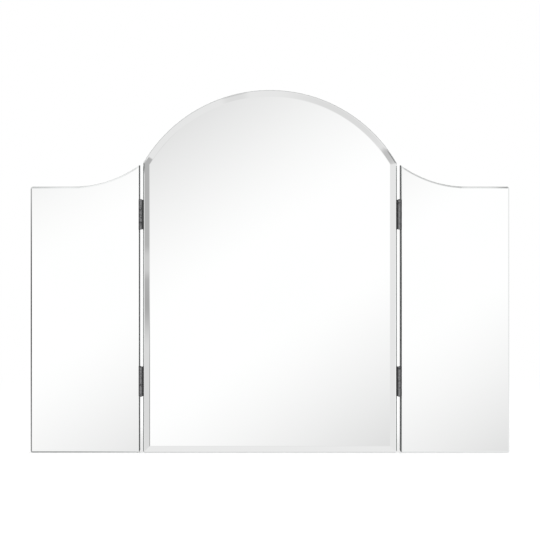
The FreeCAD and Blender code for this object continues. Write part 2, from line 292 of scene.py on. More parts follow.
class MirrorGlassSizes(bpy.types.PropertyGroup):
    """Sizes of the glass that the frame's boxes don't give."""

    arch_rise: length("Arch Rise", "Top of the arch above the corners where it meets the sides", 0.11113)
    bevel_width: length("Bevel Width", "Bevel of the centre glass, across", 0.0105)
    bevel_drop: length("Bevel Drop", "Bevel of the centre glass, in depth", 0.0016)
    land_width: length("Land Width", "Gentler strip of the bevel, beside the rim", 0.0024)
    land_drop: length("Land Drop", "Depth of that strip", 0.00025)
    heel_width: length("Heel Width", "Gentler strip of the bevel, beside the flat", 0.0009)
    heel_drop: length("Heel Drop", "Depth of that strip", 0.00006)
    wing_rise: length("Wing Rise", "Inner corner of a wing above its straight top", 0.03252)
    wing_curve_radius: length("Wing Curve Radius", "Hollow curve along the top of a wing", 0.1725)
    corner_radius: length("Corner Radius", "Rounded corners of the glass", 0.0025)
    centre_seam: length("Centre Seam", "Polished seam along the front rim of the centre glass", 0.0010)
    wing_seam: length("Wing Seam", "Polished seam along the front rim of the wing glass", 0.0024)
    left_hinge_seam: length("Left Hinge Seam", "The same seam along the hinges of the left wing", 0.0003)
    right_hinge_seam: length("Right Hinge Seam", "The same seam along the hinges of the right wing", 0.0010)
    tip_straight: length("Tip Straight", "Straight end of a wing's curve, at its tip", 0.006)
    back_seam: length("Back Seam", "Ground seam along the back rims", 0.0003)
    arch_steps: count("Arch Steps", "Flats along the arch", 144)
    wing_steps: count("Wing Steps", "Flats along the curve of a wing", 64)
    corner_steps: count("Corner Steps", "Flats round a corner", 32)


class MirrorHingeSizes(bpy.types.PropertyGroup):
    """Sizes of the hinges that the frame's boxes don't give."""

    leaf_thickness: length("Leaf Thickness", "Sheet that a leaf is stamped from", 0.0012)
    leaf_corner: length("Leaf Corner", "Rounded back corners of a leaf", 0.002)
    notch_clear: length("Notch Clearance", "Between a leaf and the other leaf's knuckles", 0.0004)
    knuckle_gap: length("Knuckle Gap", "End play between knuckles", 0.0002)
    roll_seam: length("Roll Seam", "Gap where a knuckle rolls back to its leaf", 0.0003)
    edge_ease: length("Edge Ease", "Rounding of the stamped edges", 0.00012)
    hole_diameter: length("Hole Diameter", "Screw hole on the face against the board", 0.0029)
    sink_diameter: length("Sink Diameter", "Screw hole on the open face", 0.0051)
    screw_pitch: length("Screw Pitch", "Between the screws of a leaf", 0.015)
    screws: count("Screws", "Screws in a leaf", 3)
    knuckles: count("Knuckles", "Knuckles of a hinge, shared by its leaves", 5)
    roll_steps: count("Roll Steps", "Flats round a knuckle", 40)
    corner_steps: count("Corner Steps", "Flats round a corner of a leaf", 8)
    hole_steps: count("Hole Steps", "Flats round a screw hole", 32)
    ease_steps: count("Ease Steps", "Flats over an eased edge", 2)


class MirrorBumperSizes(bpy.types.PropertyGroup):
    """Sizes of the wall bumpers."""

    base_diameter: length("Base Diameter", "Bumper where it is stuck to the board", 0.010)
    tip_diameter: length("Tip Diameter", "Bumper at the wall, before its crown is rounded", 0.0084)
    crown: length("Crown", "Rounding of the crown", 0.0018)
    steps: count("Steps", "Flats round a bumper", 48)
    crown_steps: count("Crown Steps", "Flats over the crown", 8)


class MirrorFinishes(bpy.types.PropertyGroup):
    """Colours and gloss of the finishes."""

    silver: colour("Silver", "Reflection of the mirror", (0.945, 0.948, 0.946))
    silver_haze: share("Silver Haze", "Roughness that wiping leaves on the mirror", 0.02)
    seam: colour("Seam", "Polished seams of the glass", (0.93, 0.945, 0.94))
    ground_glass: colour("Ground Glass", "Ground rim of the glass", (0.30, 0.35, 0.335))
    back_paint: colour("Back Paint", "Paint behind the silver", (0.30, 0.31, 0.32))
    board: colour("Board", "Lacquer of the backing boards", (0.026, 0.026, 0.027))
    board_scuff: colour("Board Scuff", "Rubbed places of the lacquer", (0.085, 0.083, 0.080))
    gunmetal: colour("Gunmetal", "Dark plating of the hinges", (0.075, 0.075, 0.078))
    # Paler steel, for wear in patches and for a painted highlight over the crowns of the knuckles
    gunmetal_worn_and_highlight: colour("Worn Gunmetal", "Steel where the plating is rubbed", (0.27, 0.27, 0.275))
    zinc: colour("Zinc", "Plating of the wall hangers", (0.66, 0.67, 0.69))
    foam: colour("Foam", "Mirror tape", (0.78, 0.78, 0.76))
    rubber: colour("Rubber", "Wall bumpers", (0.075, 0.075, 0.078))


class MirrorStudio(bpy.types.PropertyGroup):
    """Camera, floor and light."""

    camera_distance: length("Camera Distance", "Camera to the front of the glass", 1.5)
    picture_width: length("Picture Width", "Width of the picture at the front of the glass", 0.8212)
    aim_above_middle: length("Aim Above Middle", "Camera above the middle of the mirror", 0.002)
    floor_size: length("Floor Size", "Side of the floor", 40.0)
    floor: colour("Floor", "Paper that the mirror stands on", (0.86, 0.86, 0.86))
    shadow_keep: share("Shadow Keep", "Share of the real shading that the white floor shows", 0.5)
    shadow_reach: length("Shadow Reach", "Distance at which the floor is plain white", 1.2)
    ambient: amount("Ambient", "Light from all round on matt surfaces", 0.55)


GROUPS = {
    "mirror_glass": MirrorGlassSizes,
    "mirror_hinges": MirrorHingeSizes,
    "mirror_bumpers": MirrorBumperSizes,
    "mirror_finishes": MirrorFinishes,
    "mirror_studio": MirrorStudio,
}


class Value:
    """A shader socket. Python arithmetic on it adds Math nodes."""

    def __init__(self, nodes, socket):
        self.nodes = nodes
        self.socket = socket

    def output(self, name):
        """Another output of the same node."""
        return Value(self.nodes, self.socket.node.outputs[name])

    def __add__(self, other):
        return self.nodes.math("ADD", self, other)

    __radd__ = __add__

    def __sub__(self, other):
        return self.nodes.math("SUBTRACT", self, other)

    def __rsub__(self, other):
        return self.nodes.math("SUBTRACT", other, self)

    def __neg__(self):
        return 0 - self

    def __mul__(self, other):
        return self.nodes.math("MULTIPLY", self, other)

    __rmul__ = __mul__

    def __truediv__(self, other):
        return self.nodes.math("DIVIDE", self, other)

    def __pow__(self, other):
        return self.nodes.math("POWER", self, other)

    def __gt__(self, other):
        return self.nodes.math("GREATER_THAN", self, other)

    def __abs__(self):
        return self.nodes.math("ABSOLUTE", self)

    def at_least(self, other):
        return self.nodes.math("MAXIMUM", self, other)

    def at_most(self, other):
        return self.nodes.math("MINIMUM", self, other)

    def rise(self, start, end):
        """0 up to start, 1 from end on, and smooth between them. Falls where start is above end."""
        bounds = {"From Min": min(start, end), "From Max": max(start, end)}
        span = {"To Min": float(start > end), "To Max": float(start < end)}
        settings = {"interpolation_type": "SMOOTHSTEP"}
        return self.nodes.add("ShaderNodeMapRange", settings, {"Value": self, **bounds, **span})


class Nodes:
    """The node tree of a material or of the world."""

    def __init__(self, owner):
        owner.use_nodes = True
        self.tree = owner.node_tree
        self.tree.nodes.clear()

    def add(self, kind, settings=None, inputs=None, output=0):
        """Adds a node, makes its settings, then sets or links its inputs. Returns one of its outputs."""
        node = self.tree.nodes.new(kind)
        for name, setting in (settings or {}).items():
            setattr(node, name, setting)
        for key, given in (inputs or {}).items():
            if isinstance(given, Value):
                self.tree.links.new(given.socket, node.inputs[key])
            else:
                node.inputs[key].default_value = given
        return Value(self, node.outputs[output]) if node.outputs else None

    def math(self, operation, *values):
        return self.add("ShaderNodeMath", {"operation": operation}, dict(enumerate(values)))

    def place(self, stretch=(1, 1, 1), turn=(0, 0, 0)):
        """Object coordinates, stretched or turned."""
        place = self.add("ShaderNodeTexCoord", output="Object")
        return self.add("ShaderNodeMapping", None, {"Vector": place, "Rotation": turn, "Scale": stretch})

    def parts(self, vector):
        """The X, Y and Z of a vector."""
        x = self.add("ShaderNodeSeparateXYZ", None, {"Vector": vector})
        return x, x.output("Y"), x.output("Z")

    def noise(self, place, scale=1.0, detail=SOFT_DETAIL, layers=EVEN_LAYERS):
        inputs = {"Vector": place, "Scale": scale, "Detail": detail, "Roughness": layers}
        return self.add("ShaderNodeTexNoise", None, inputs)

    def cells(self, place, scale):
        """Distance to the nearest of a scatter of points."""
        return self.add("ShaderNodeTexVoronoi", None, {"Vector": place, "Scale": scale})

    def blend(self, factor, first, second):
        """A colour between two colours."""
        settings = {"data_type": "RGBA"}
        inputs = {"Factor": factor, FIRST_COLOUR: rgba(first), SECOND_COLOUR: rgba(second)}
        return self.add("ShaderNodeMix", settings, inputs, output=BLENDED_COLOUR)

    def bump(self, height, strength, distance):
        inputs = {"Height": height, "Strength": strength, "Distance": distance}
        return self.add("ShaderNodeBump", None, inputs)

    def mixed(self, factor, first, second):
        """A shader between two shaders."""
        return self.add("ShaderNodeMixShader", None, {0: factor, 1: first, 2: second})

    def background(self, tone, strength=1.0):
        return self.add("ShaderNodeBackground", None, {"Color": tone, "Strength": strength})


def rgba(tone):
    """A colour with its alpha, or a socket as it is."""
    return tone if isinstance(tone, Value) else (*tone, 1.0)


def shaded(tone, by):
    """A colour made darker or paler."""
    return [channel * by for channel in tone]


def roughness(levels, *patterns):
    """The least roughness, and what each pattern adds to it."""
    least, *gains = levels
    return sum((pattern * gain for pattern, gain in zip(patterns, gains)), least)


def once(build):
    """Makes a material the first time it is asked for, and finds it by its name after that."""

    def find(finishes):
        material = bpy.data.materials.get(build.__name__)
        if material is None:
            material = bpy.data.materials.new(build.__name__)
            nodes = Nodes(material)
            shader = nodes.add("ShaderNodeBsdfPrincipled", None, build(nodes, finishes))
            nodes.add("ShaderNodeOutputMaterial", None, {"Surface": shader})
        return material

    return find


@once
def mirror_silver(nodes, finishes):
    """Silver behind clear glass, with the faint trace of a wiping cloth."""
    wiped = nodes.noise(nodes.place(WIPE_STRETCH, WIPE_TURN), detail=FINEST_DETAIL)
    clouds = nodes.noise(nodes.place(), CLOUD_SCALE)
    haze = (SILVER_ROUGHNESS, finishes.silver_haze)
    return {
        "Base Color": nodes.blend(clouds, shaded(finishes.silver, SILVER_SHADE), finishes.silver),
        "Metallic": 1.0,
        "Roughness": roughness(haze, wiped.rise(*WIPE_SHOWS)),
    }


@once
def polished_seam(nodes, finishes):
    """A narrow flat polished on the rim, which shows the silver behind it with the marks of the wheel."""
    marks = nodes.noise(nodes.place(SEAM_STRETCH), detail=FINE_DETAIL)
    return {
        "Base Color": nodes.blend(marks, shaded(finishes.seam, SEAM_SHADE), finishes.seam),
        "Metallic": 1.0,
        "Roughness": roughness(SEAM_ROUGHNESS, marks),
    }


@once
def ground_edge(nodes, finishes):
    """Glass ground with a fine stone: a dull dark flat with its grinding marks along the rim."""
    grit = nodes.noise(nodes.place(), GRIT_SCALE, FINE_DETAIL)
    marks = nodes.noise(nodes.place(GRIND_STRETCH))
    return {
        "Base Color": nodes.blend(grit, shaded(finishes.ground_glass, GROUND_SHADE), finishes.ground_glass),
        "Roughness": roughness(GROUND_ROUGHNESS, grit, marks),
        "Normal": nodes.bump(grit + marks, *GROUND_RELIEF),
    }


@once
def mirror_back_paint(nodes, finishes):
    """Rolled paint over the silver."""
    roller = nodes.noise(nodes.place(), ROLLER_SCALE, FINE_DETAIL)
    return {
        "Base Color": nodes.blend(roller, shaded(finishes.back_paint, PAINT_SHADE), finishes.back_paint),
        "Roughness": roughness(PAINT_ROUGHNESS, roller),
        "Normal": nodes.bump(roller, *PAINT_RELIEF),
    }


@once
def painted_board(nodes, finishes):
    """Black lacquer on fibreboard: a fine orange peel, cloudy sheen, and rubbed edges and scuffs."""
    place = nodes.place()
    peel = nodes.noise(place, PEEL_SCALE, FINE_DETAIL, GRAINY_LAYERS)
    clouds = nodes.noise(place, SHEEN_SCALE, FINEST_DETAIL)
    strokes = nodes.noise(nodes.place(SCUFF_STRETCH, SCUFF_TURN), detail=FINE_DETAIL)
    scuffs = strokes.rise(*SCUFF_SHOWS) * clouds.rise(*SCUFF_PATCHES)
    _, depth, _ = nodes.parts(place)
    edge = depth.rise(*EDGE_DEPTH) * depth.rise(*BACK_DEPTH) * clouds.rise(*EDGE_PATCHES)
    rubbed = (scuffs * SCUFF_SHARE + edge * EDGE_SHARE).at_most(1.0)
    lacquer = nodes.blend(clouds, shaded(finishes.board, BOARD_SHADE), finishes.board)
    return {
        "Base Color": nodes.blend(rubbed, lacquer, finishes.board_scuff),
        "Roughness": roughness(BOARD_ROUGHNESS, clouds, rubbed),
        "Specular IOR Level": BOARD_SPECULAR,
        "Normal": nodes.bump(peel, *BOARD_RELIEF),
    }


@once
def gunmetal(nodes, finishes):
    """Dark plated steel, worn paler in patches, and paler over the crowns of the knuckles as wear and a
    painted highlight.
    """
    place = nodes.place()
    grain = nodes.noise(place, GRAIN_SCALE, FINEST_DETAIL, GRAINY_LAYERS)
    wear = nodes.noise(place, WEAR_SCALE, FINE_DETAIL)
    drawn = nodes.noise(nodes.place(DRAWN_STRETCH))
    _, depth, _ = nodes.parts(place)
    # The frontmost crowns of the knuckles take the paler steel: partly wear, partly a painted highlight
    # along the barrel
    crown = (depth - CAD_BOX[0].y).rise(*CROWN_HIGHLIGHT_DEPTH)
    rubbed = (crown * wear.rise(*CROWN_WEAR_AND_HIGHLIGHT) + wear.rise(*PATCH_WEAR) * PATCH_SHARE).at_most(1.0)
    return {
        "Base Color": nodes.blend(rubbed, finishes.gunmetal, finishes.gunmetal_worn_and_highlight),
        "Metallic": 1.0,
        "Roughness": roughness(GUNMETAL_ROUGHNESS, grain, drawn, rubbed),
        "Normal": nodes.bump(grain + drawn, *GUNMETAL_RELIEF),
    }


@once
def zinc_plate(nodes, finishes):
    """Bright zinc on rolled steel, with the rolling lines and a cloudy bloom."""
    rolled = nodes.noise(nodes.place(ROLLED_STRETCH), detail=FINE_DETAIL)
    bloom = nodes.noise(nodes.place(), BLOOM_SCALE, FINE_DETAIL)
    return {
        "Base Color": nodes.blend(bloom, shaded(finishes.zinc, ZINC_SHADE), finishes.zinc),
        "Metallic": 1.0,
        "Roughness": roughness(ZINC_ROUGHNESS, bloom, rolled),
        "Normal": nodes.bump(rolled, *ZINC_RELIEF),
    }


@once
def tape_foam(nodes, finishes):
    """Closed-cell foam."""
    pores = nodes.cells(nodes.place(), PORE_SCALE)
    return {
        "Base Color": nodes.blend(pores, shaded(finishes.foam, FOAM_SHADE), finishes.foam),
        "Roughness": roughness(FOAM_ROUGHNESS, pores),
        "Normal": nodes.bump(pores, *FOAM_RELIEF),
    }


@once
def soft_rubber(nodes, finishes):
    """Moulded rubber with pale dust on it."""
    dust = nodes.noise(nodes.place(), DUST_SCALE, FINEST_DETAIL)
    pale = shaded(finishes.rubber, DUST_SHADE)
    return {
        "Base Color": nodes.blend(dust.rise(*DUST_SHOWS), finishes.rubber, pale),
        "Roughness": roughness(RUBBER_ROUGHNESS, dust),
        "Normal": nodes.bump(dust, *RUBBER_RELIEF),
    }


def add_object(name, data):
    """Puts a mesh, a light or a camera in the scene."""
    added = bpy.data.objects.new(name, data)
    bpy.context.scene.collection.objects.link(added)
    return added


def mesh_object(name, mesh, materials):
    """Puts a finished mesh in the scene, with its materials in the order of their slots."""
    data = bpy.data.meshes.new(name)
    mesh.to_mesh(data)
    mesh.free()
    for material in materials:
        data.materials.append(material)
    return add_object(name, data)


def make_piece(name, mesh, materials, body, node):
    """Makes a finished mesh into a piece that rides on a body and stands for a CAD node."""
    piece = mesh_object(name, mesh, materials)
    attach(piece, body)
    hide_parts(node)


def paint_node(name, material):
    """Gives a CAD node that stays a better material."""
    slots = frame["nodes"][name].data.materials
    slots.clear()
    slots.append(material)


def extruded_vertices(made):
    """The new vertices of an extrusion."""
    return [item for item in made["geom"] if isinstance(item, bmesh.types.BMVert)]


def bevel(mesh, geom, width, steps, affect="EDGES", clamp=False):
    """Cuts edges or corners back: one step leaves a flat, and more leave a round."""
    cut = {"offset": width, "segments": steps, "profile": 0.5, "affect": affect, "material": -1}
    bmesh.ops.bevel(mesh, geom=geom, clamp_overlap=clamp, **cut)


def shade(mesh, hard_angle):
    """Smooth faces, with hard lines where faces meet at more than an angle."""
    for face in mesh.faces:
        face.smooth = True
    for edge in mesh.edges:
        edge.smooth = edge.calc_face_angle(0) < hard_angle


def arc(mesh, start, centre, angle, steps):
    """A chain of edges from a point round a centre, anticlockwise from the front. Returns its two ends."""
    first = mesh.verts.new(start)
    spun = bmesh.ops.spin(mesh, geom=[first], cent=centre, axis=FRONT, angle=angle, steps=steps)
    last = next(item for item in spun["geom_last"] if isinstance(item, bmesh.types.BMVert))
    return first, last


def plate(mesh, ends, corners, thickness):
    """Closes an arc through its corners, from its last end to its first, and makes the outline a plate."""
    first, last = ends
    chain = [last] + [mesh.verts.new(corner) for corner in corners] + [first]
    for start, end in zip(chain, chain[1:]):
        mesh.edges.new((start, end))
    face = bmesh.ops.contextual_create(mesh, geom=mesh.edges[:])["faces"][0]
    back = bmesh.ops.extrude_face_region(mesh, geom=[face])
    bmesh.ops.translate(mesh, vec=-FRONT * thickness, verts=extruded_vertices(back))
    bmesh.ops.recalc_face_normals(mesh, faces=mesh.faces[:])


def round_corners(mesh, corners, radius, steps):
    """Rounds the edges that run front to back through the given corners."""
    edges = []
    for edge in mesh.edges:
        start, end = (vertex.co.xz for vertex in edge.verts)
        runs_back = (start - end).length < NEAR
        if runs_back and any((start - corner.xz).length < NEAR for corner in corners):
            edges.append(edge)
    bevel(mesh, edges, radius, steps)


def seam_rim(mesh, side, width):
    """Cuts a narrow flat where the front or the back, as side points, meets the rim."""
    mesh.normal_update()
    edges = []
    for edge in mesh.edges:
        facing = sorted(face.normal.dot(side) for face in edge.link_faces)
        if abs(facing[0]) < 1 - FLAT and facing[-1] > FLAT:
            edges.append(edge)
    bevel(mesh, edges, width, 1)


def narrow_seam(mesh, corner, radius, width, narrow, tip_run):
    """Narrows the front seam along the side of a glass, and lets it widen round the corner at its foot.

    Tip run is how the edge at the top of the side runs, for each step towards the side.
    """
    centre = corner + Vector((radius, 0, radius))
    for vertex in mesh.verts:
        away = vertex.co - centre
        if away.x > NEAR or vertex.co.y > corner.y + width + NEAR:
            continue
        turned = max(0, math.atan2(-away.z, -away.x)) / QUARTER_TURN
        drawn_in = (width - narrow) * (1 - turned)
        if vertex.co.y > corner.y + NEAR:
            vertex.co.y -= drawn_in
        elif away.z > NEAR:
            vertex.co += tip_run * drawn_in
        else:
            vertex.co += Vector((away.x, 0, away.z)).normalized() * drawn_in


def finish_glass(mesh):
    """Sorts the faces of a glass into silver, front seam, ground rim and painted back."""
    bmesh.ops.recalc_face_normals(mesh, faces=mesh.faces[:])
    for face in mesh.faces:
        facing = face.normal.dot(FRONT)
        if facing > FLAT:
            face.material_index = SILVER
        elif facing > SLANT:
            face.material_index = SEAM
        elif facing > -FLAT:
            face.material_index = GROUND
        else:
            face.material_index = PAINT
    shade(mesh, HARD_ANGLE)


def glass_materials(finishes):
    """Materials of a glass piece, in the order of its slots."""
    return [build(finishes) for build in (mirror_silver, polished_seam, ground_edge, mirror_back_paint)]


def centre_glass(sizes, low, high):
    """The arched glass, with its bevel in three strips."""
    half = high.x
    radius = (half**2 + sizes.arch_rise**2) / (2 * sizes.arch_rise)
    rim_y = low.y + sizes.bevel_drop
    centre = Vector((0, rim_y, high.z - radius))
    shoulder = Vector((half, rim_y, high.z - sizes.arch_rise))
    corners = [Vector((-half, rim_y, low.z)), Vector((half, rim_y, low.z))]
    mesh = bmesh.new()
    ends = arc(mesh, shoulder, centre, 2 * math.asin(half / radius), sizes.arch_steps)
    plate(mesh, ends, corners, high.y - rim_y)
    front = [face for face in mesh.faces if face.normal.dot(FRONT) > FLAT]
    land = {"thickness": sizes.land_width, "depth": sizes.land_drop}
    slope = {
        "thickness": sizes.bevel_width - sizes.land_width - sizes.heel_width,
        "depth": sizes.bevel_drop - sizes.land_drop - sizes.heel_drop,
    }
    heel = {"thickness": sizes.heel_width, "depth": sizes.heel_drop}
    for strip in (land, slope, heel):
        bmesh.ops.inset_region(mesh, faces=front, use_even_offset=True, use_boundary=True, **strip)
    round_corners(mesh, corners, sizes.corner_radius, sizes.corner_steps)
    seam_rim(mesh, FRONT, sizes.centre_seam)
    seam_rim(mesh, -FRONT, sizes.back_seam)
    finish_glass(mesh)
    return mesh


class MIRROR_OT_centre_glass(bpy.types.Operator):
    """Models the arched centre glass with its bevel"""

    bl_idname = "mirror.centre_glass"
    bl_label = "Centre Glass"

    def execute(self, context):
        node = "centre_mirror_glass"
        mesh = centre_glass(context.scene.mirror_glass, *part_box(node))
        materials = glass_materials(context.scene.mirror_finishes)
        make_piece("centre_mirror", mesh, materials, "centre", node)
        return {"FINISHED"}


def wing_glass(sizes, side, low, high):
    """A flat glass with a hollow curve along its top, modelled on the right and mirrored for the left."""
    inner, outer = sorted((abs(low.x), abs(high.x)))
    top = high.z - sizes.wing_rise
    radius = sizes.wing_curve_radius
    turn = math.acos(1 - sizes.wing_rise / radius)
    swept = turn - sizes.tip_straight / radius
    foot = Vector((inner + radius * math.sin(turn), low.y, top))
    tip = Vector((inner, low.y, high.z))
    corners = [Vector((x, low.y, z)) for x, z in ((inner, low.z), (outer, low.z), (outer, top))]
    mesh = bmesh.new()
    ends = arc(mesh, foot, foot + UP * radius, -swept, sizes.wing_steps)
    tip_run = tip - ends[1].co
    tip_run /= abs(tip_run.x)
    plate(mesh, ends, [tip, *corners], high.y - low.y)
    round_corners(mesh, corners, sizes.corner_radius, sizes.corner_steps)
    seam_rim(mesh, FRONT, sizes.wing_seam)
    hinge_seam = getattr(sizes, side + "_hinge_seam")
    narrow_seam(mesh, corners[0], sizes.corner_radius, sizes.wing_seam, hinge_seam, tip_run)
    seam_rim(mesh, -FRONT, sizes.back_seam)
    bmesh.ops.scale(mesh, vec=(SIDES[side], 1, 1), verts=mesh.verts[:])
    finish_glass(mesh)
    return mesh


class MIRROR_OT_wing_glass(bpy.types.Operator):
    """Models the flat glass of both wings"""

    bl_idname = "mirror.wing_glass"
    bl_label = "Wing Glass"

    def execute(self, context):
        sizes = context.scene.mirror_glass
        materials = glass_materials(context.scene.mirror_finishes)
        for side in SIDES:
            node = side + "_wing_mirror_glass"
            mesh = wing_glass(sizes, side, *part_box(node))
            make_piece(side + "_wing_mirror", mesh, materials, side + "_wing", node)
        return {"FINISHED"}


def region(faces):
    """Faces with their edges and vertices."""
    edges = {edge for face in faces for edge in face.edges}
    vertices = {vertex for face in faces for vertex in face.verts}
    return [*faces, *edges, *vertices]


def faces_at(mesh, y):
    """Faces that lie square to the depth at one place."""
    return [face for face in mesh.faces if all(abs(vertex.co.y - y) < NEAR for vertex in face.verts)]


def knuckle_spans(sizes, low, high, first):
    """Heights of every other knuckle of a hinge, without the end play."""
    pitch = (high.z - low.z) / sizes.knuckles
    play = sizes.knuckle_gap / 2
    starts = [low.z + index * pitch for index in range(first, sizes.knuckles, 2)]
    return [(start + play, start + pitch - play) for start in starts]


def leaf_sheet(mesh, sizes, hand, open_x, front_y, screws, low, high):
    """The flat of a leaf, from its knuckles to its rounded back corners, with sunk screw holes."""
    outline = [(front_y, low.z), (high.y, low.z), (high.y, high.z), (front_y, high.z)]
    mesh.faces.new([mesh.verts.new((open_x, y, z)) for y, z in outline])
    back = [vertex for vertex in mesh.verts if vertex.co.y > high.y - NEAR]
    bevel(mesh, back, sizes.leaf_corner, sizes.corner_steps, affect="VERTICES")
    bmesh.ops.delete(mesh, geom=mesh.faces[:], context="FACES_ONLY")
    sink = sizes.sink_diameter / 2
    for screw in screws:
        place = Matrix.Translation((open_x, screw.y, screw.z)) @ Matrix.Rotation(QUARTER_TURN, 4, "Y")
        bmesh.ops.create_circle(mesh, radius=sink, segments=sizes.hole_steps, matrix=place)
    bmesh.ops.triangle_fill(mesh, use_beauty=True, edges=mesh.edges[:], normal=(hand, 0, 0))
    seat = extruded_vertices(bmesh.ops.extrude_face_region(mesh, geom=mesh.faces[:]))
    bmesh.ops.translate(mesh, vec=(hand * sizes.leaf_thickness, 0, 0), verts=seat)
    narrow = sizes.hole_diameter / sizes.sink_diameter
    for screw in screws:
        ring = [v for v in seat if math.hypot(v.co.y - screw.y, v.co.z - screw.z) < sink + NEAR]
        about = Matrix.Translation((0, -screw.y, -screw.z))
        bmesh.ops.scale(mesh, vec=(1, narrow, narrow), space=about, verts=ring)


def rolled_leaf(sizes, axis, hand, screws, low, high, first):
    """A leaf stamped from sheet, whose tabs are rolled into knuckles round the pin.

    Hand is the side of the pin that the leaf lies on, and first is its lowest knuckle.
    """
    roll = axis.y - low.y
    bore = roll - sizes.leaf_thickness
    front_y = axis.y + roll + sizes.notch_clear
    spans = knuckle_spans(sizes, low, high, first)
    mesh = bmesh.new()
    leaf_sheet(mesh, sizes, hand, axis.x + hand * bore, front_y, screws, low, high)
    for span in spans:
        for height in span:
            edge_faces = region(faces_at(mesh, front_y))
            bmesh.ops.bisect_plane(mesh, geom=edge_faces, dist=NEAR, plane_co=UP * height, plane_no=UP)
    tabs = []
    for face in faces_at(mesh, front_y):
        height = face.calc_center_median().z
        if any(start < height < end for start, end in spans):
            tabs.append(face)
    drawn = bmesh.ops.extrude_face_region(mesh, geom=region(tabs))
    bmesh.ops.translate(mesh, vec=FRONT * (front_y - axis.y), verts=extruded_vertices(drawn))
    # Three quarters round the pin, and on to where only the seam is left before the leaf
    sweep = 3 * QUARTER_TURN + math.asin((bore - sizes.roll_seam) / roll)
    ends = region(faces_at(mesh, axis.y))
    bmesh.ops.spin(mesh, geom=ends, cent=axis, axis=UP, angle=-hand * sweep, steps=sizes.roll_steps)
    bmesh.ops.recalc_face_normals(mesh, faces=mesh.faces[:])
    stamped = [edge for edge in mesh.edges if edge.calc_face_angle(0) > STAMPED_ANGLE]
    bevel(mesh, stamped, sizes.edge_ease, sizes.ease_steps, clamp=True)
    shade(mesh, ROLLED_ANGLE)
    return mesh


class MIRROR_OT_hinges(bpy.types.Operator):
    """Models the rolled leaves of the four hinges and finishes their pins and screws"""

    bl_idname = "mirror.hinges"
    bl_label = "Hinges"

    def execute(self, context):
        sizes = context.scene.mirror_hinges
        steel = gunmetal(context.scene.mirror_finishes)
        # Heights of the screws from the middle of a leaf
        lifts = [sizes.screw_pitch * (index - (sizes.screws - 1) / 2) for index in range(sizes.screws)]
        for side, hand in SIDES.items():
            wing = side + "_wing"
            joint = next(joint for joint in frame["joints"] if joint["child"] == wing)
            axis = Vector((*joint["pos_m"][:2], 0))
            # Leaves by the panel that each is screwed to, its side of the pin, its body and lowest knuckle
            for part, lean, body, first in (("centre", -hand, "centre", 0), ("wing", hand, wing, 1)):
                screw_node = f"{side}_hinge_{part}_screws"
                screw_low, screw_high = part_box(screw_node)
                paint_node(screw_node, steel)
                for level in LEVELS:
                    node = f"{side}_{level}_hinge_{part}_leaf"
                    low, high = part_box(node)
                    middle = Vector((0, (screw_low.y + screw_high.y) / 2, (low.z + high.z) / 2))
                    screws = [middle + UP * lift for lift in lifts]
                    mesh = rolled_leaf(sizes, axis, lean, screws, low, high, first)
                    make_piece(f"{side}_{level}_{part}_leaf", mesh, [steel], body, node)
            for level in LEVELS:
                paint_node(f"{side}_{level}_hinge_pin", steel)
        return {"FINISHED"}


class MIRROR_OT_boards(bpy.types.Operator):
    """Finishes the backing boards and the mirror tape"""

    bl_idname = "mirror.boards"
    bl_label = "Boards and Tape"

    def execute(self, context):
        finishes = context.scene.mirror_finishes
        for panel in PANELS:
            paint_node(panel + "_backing_board", painted_board(finishes))
            paint_node(panel + "_mirror_tape", tape_foam(finishes))
        return {"FINISHED"}


class MIRROR_OT_hangers(bpy.types.Operator):
    """Finishes the keyhole hangers and their screws"""

    bl_idname = "mirror.hangers"
    bl_label = "Wall Hangers"

    def execute(self, context):
        zinc = zinc_plate(context.scene.mirror_finishes)
        for node in ("left_wall_hanger", "right_wall_hanger", "wall_hanger_screws"):
            paint_node(node, zinc)
        return {"FINISHED"}


def domed_bumpers(sizes, low, high):
    """Bumpers in the corners of a box, tapered towards the wall and domed there."""
    base = sizes.base_diameter / 2
    # The bumpers of a wing stand in one column, so the places of two columns fall together
    places = {
        (round(x, SAME_PLACE), round(z, SAME_PLACE))
        for x in (low.x + base, high.x - base)
        for z in (low.z + base, high.z - base)
    }
    turned = Matrix.Rotation(-QUARTER_TURN, 4, "X")
    cone = {"radius1": base, "radius2": sizes.tip_diameter / 2, "depth": high.y - low.y}
    mesh = bmesh.new()
    for x, z in sorted(places):
        middle = Matrix.Translation((x, (low.y + high.y) / 2, z)) @ turned
        bmesh.ops.create_cone(mesh, cap_ends=True, segments=sizes.steps, matrix=middle, **cone)
    crowns = [edge for face in faces_at(mesh, high.y) for edge in face.edges]
    bevel(mesh, crowns, sizes.crown, sizes.crown_steps)
    bmesh.ops.recalc_face_normals(mesh, faces=mesh.faces[:])
    shade(mesh, ROLLED_ANGLE)
    return mesh


class MIRROR_OT_bumpers(bpy.types.Operator):
    """Models the domed wall bumpers"""

    bl_idname = "mirror.bumpers"
    bl_label = "Wall Bumpers"

    def execute(self, context):
        rubber = soft_rubber(context.scene.mirror_finishes)
        for panel in PANELS:
            node = panel + "_wall_bumpers"
            mesh = domed_bumpers(context.scene.mirror_bumpers, *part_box(node))
            make_piece(panel + "_bumpers", mesh, [rubber], panel, node)
        return {"FINISHED"}


def soft_patch(across, up, middle, reach):
    """1 in the middle of an oval patch of the studio, fading to 0 at its reach."""
    side = (across - middle[0]) / reach[0]
    rise = (up - middle[1]) / reach[1]
    return (side * side + rise * rise).rise(1.0, 0.0)


def studio_diffusers(nodes, across, up):
    """Brightness of the diffusers."""
    beside = abs(across).rise(*DIFFUSER_EDGE)
    local = across - nodes.math("SIGN", across) * beside * DIFFUSER_MIDDLE
    band = up - local * BAND_SLOPE + BAND_LIFT - beside * (across > 0.0) * BAND_DROP_RIGHT
    fall = (abs(band) - BAND_HALF_WIDTH).at_least(0.0)
    return DIFFUSER_WHITE * (1 - fall**BAND_POWER * BAND_FALL).at_least(DIFFUSER_LEAST)


